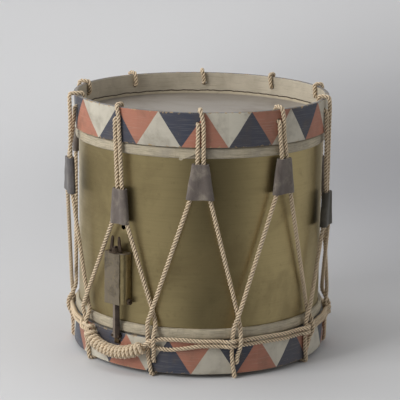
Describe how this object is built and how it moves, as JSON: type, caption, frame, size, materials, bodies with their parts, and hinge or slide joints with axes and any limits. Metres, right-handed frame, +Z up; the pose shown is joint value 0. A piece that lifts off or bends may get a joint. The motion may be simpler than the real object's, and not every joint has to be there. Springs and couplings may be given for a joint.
{
  "type": "field drum",
  "caption": "Rope-tensioned field drum with a worn brass shell, painted counterhoops, leather tugs and a snare strainer.",
  "frame": {"origin": "on the floor under the drum's axis, the drum standing on its snare side", "axes": "+Z up along the drum's axis towards the batter head, -Y the front that the picture shows, with one tug in the middle"},
  "size_m": [0.4235, 0.4154, 0.409],
  "materials": {
    "sheet_brass": "worn, satin",
    "old_brass": "dull, tarnished",
    "old_iron": "dark, worn",
    "skin": "raw skin, matte",
    "lapped_hoop": "wooden hoop wrapped in skin",
    "painted_wood": "worn oil paint in red, white and blue triangles",
    "hemp_rope": "three-strand natural fibre",
    "tug_leather": "buff suede, soiled",
    "gut": "aged gut"
  },
  "bodies": {
    "drum": {"shell": "sheet_brass", "batter_head": "skin", "snare_head": "skin", "batter_flesh_hoop": "lapped_hoop", "snare_flesh_hoop": "lapped_hoop", "batter_counterhoop": "painted_wood", "snare_counterhoop": "painted_wood", "surplus_rope_laps": "hemp_rope", "surplus_rope_winding": "hemp_rope", "strainer_housing": "old_brass", "strainer_side_screw": "old_brass", "strainer_screw_upper": "old_brass", "strainer_screw_nut_upper": "old_brass", "strainer_screw_lower": "old_brass", "strainer_screw_nut_lower": "old_brass", "snares": "gut", "snare_butt_plate": "old_brass", "snare_butt_screw_left": "old_iron", "snare_butt_screw_right": "old_iron", "tension_rope_bay_01": "hemp_rope", "tension_rope_bay_02": "hemp_rope", "tension_rope_bay_03": "hemp_rope", "tension_rope_bay_04": "hemp_rope", "tension_rope_bay_05": "hemp_rope", "tension_rope_bay_06": "hemp_rope", "tension_rope_bay_07": "hemp_rope", "tension_rope_bay_08": "hemp_rope", "tension_rope_bay_09": "hemp_rope", "tension_rope_bay_10": "hemp_rope", "tension_rope_loop_01": "hemp_rope", "tension_rope_loop_02": "hemp_rope", "tension_rope_loop_03": "hemp_rope", "tension_rope_loop_04": "hemp_rope", "tension_rope_loop_05": "hemp_rope", "tension_rope_loop_06": "hemp_rope", "tension_rope_loop_07": "hemp_rope", "tension_rope_loop_08": "hemp_rope", "tension_rope_loop_09": "hemp_rope", "tension_rope_loop_10": "hemp_rope"},
    "tug_01": {"leather_tug_01": "tug_leather"},
    "tug_02": {"leather_tug_02": "tug_leather"},
    "tug_03": {"leather_tug_03": "tug_leather"},
    "tug_04": {"leather_tug_04": "tug_leather"},
    "tug_05": {"leather_tug_05": "tug_leather"},
    "tug_06": {"leather_tug_06": "tug_leather"},
    "tug_07": {"leather_tug_07": "tug_leather"},
    "tug_08": {"leather_tug_08": "tug_leather"},
    "tug_09": {"leather_tug_09": "tug_leather"},
    "tug_10": {"leather_tug_10": "tug_leather"},
    "wing_nut": {"strainer_wing_nut": "old_iron"},
    "puller": {"snare_puller": "old_iron", "snare_clamp_plate": "old_iron", "snare_clamp_screw_left": "old_iron", "snare_clamp_screw_right": "old_iron"}
  },
  "joints": [
    {"name": "tug_01_slide", "type": "slide", "parent": "drum", "child": "tug_01", "axis": [0, 0, 1], "range_m": [-0.1109, 0.005], "deforming": ["tension_rope_bay_01"]},
    {"name": "tug_02_slide", "type": "slide", "parent": "drum", "child": "tug_02", "axis": [0, 0, 1], "range_m": [-0.1129, 0.003], "deforming": ["tension_rope_bay_02"]},
    {"name": "tug_03_slide", "type": "slide", "parent": "drum", "child": "tug_03", "axis": [0, 0, 1], "range_m": [-0.0424, 0.0735], "deforming": ["tension_rope_bay_03"]},
    {"name": "tug_04_slide", "type": "slide", "parent": "drum", "child": "tug_04", "axis": [0, 0, 1], "range_m": [-0.0734, 0.0425], "deforming": ["tension_rope_bay_04"]},
    {"name": "tug_05_slide", "type": "slide", "parent": "drum", "child": "tug_05", "axis": [0, 0, 1], "range_m": [-0.0984, 0.0175], "deforming": ["tension_rope_bay_05"]},
    {"name": "tug_06_slide", "type": "slide", "parent": "drum", "child": "tug_06", "axis": [0, 0, 1], "range_m": [-0.0814, 0.0345], "deforming": ["tension_rope_bay_06"]},
    {"name": "tug_07_slide", "type": "slide", "parent": "drum", "child": "tug_07", "axis": [0, 0, 1], "range_m": [-0.0574, 0.0585], "deforming": ["tension_rope_bay_07"]},
    {"name": "tug_08_slide", "type": "slide", "parent": "drum", "child": "tug_08", "axis": [0, 0, 1], "range_m": [-0.1314, 0.0018], "deforming": ["tension_rope_bay_08"]},
    {"name": "tug_09_slide", "type": "slide", "parent": "drum", "child": "tug_09", "axis": [0, 0, 1], "range_m": [-0.0914, 0.0245], "deforming": ["tension_rope_bay_09"]},
    {"name": "tug_10_slide", "type": "slide", "parent": "drum", "child": "tug_10", "axis": [0, 0, 1], "range_m": [-0.014, 0.051], "deforming": ["tension_rope_bay_10"]},
    {"name": "wing_nut_turn", "type": "hinge", "parent": "drum", "child": "wing_nut", "pos_m": [-0.1243, -0.16024, 0.1838], "axis": [0, 0, 1], "range_deg": [-1440, 720]},
    {"name": "puller_slide", "type": "slide", "parent": "drum", "child": "puller", "axis": [0, 0, 1], "range_m": [-0.0025, 0.005], "deforming": ["snares"]}
  ],
  "couplings": [
    {"joint": "wing_nut_turn", "follows": "puller_slide", "rad_per_m": -5026.5}
  ]
}
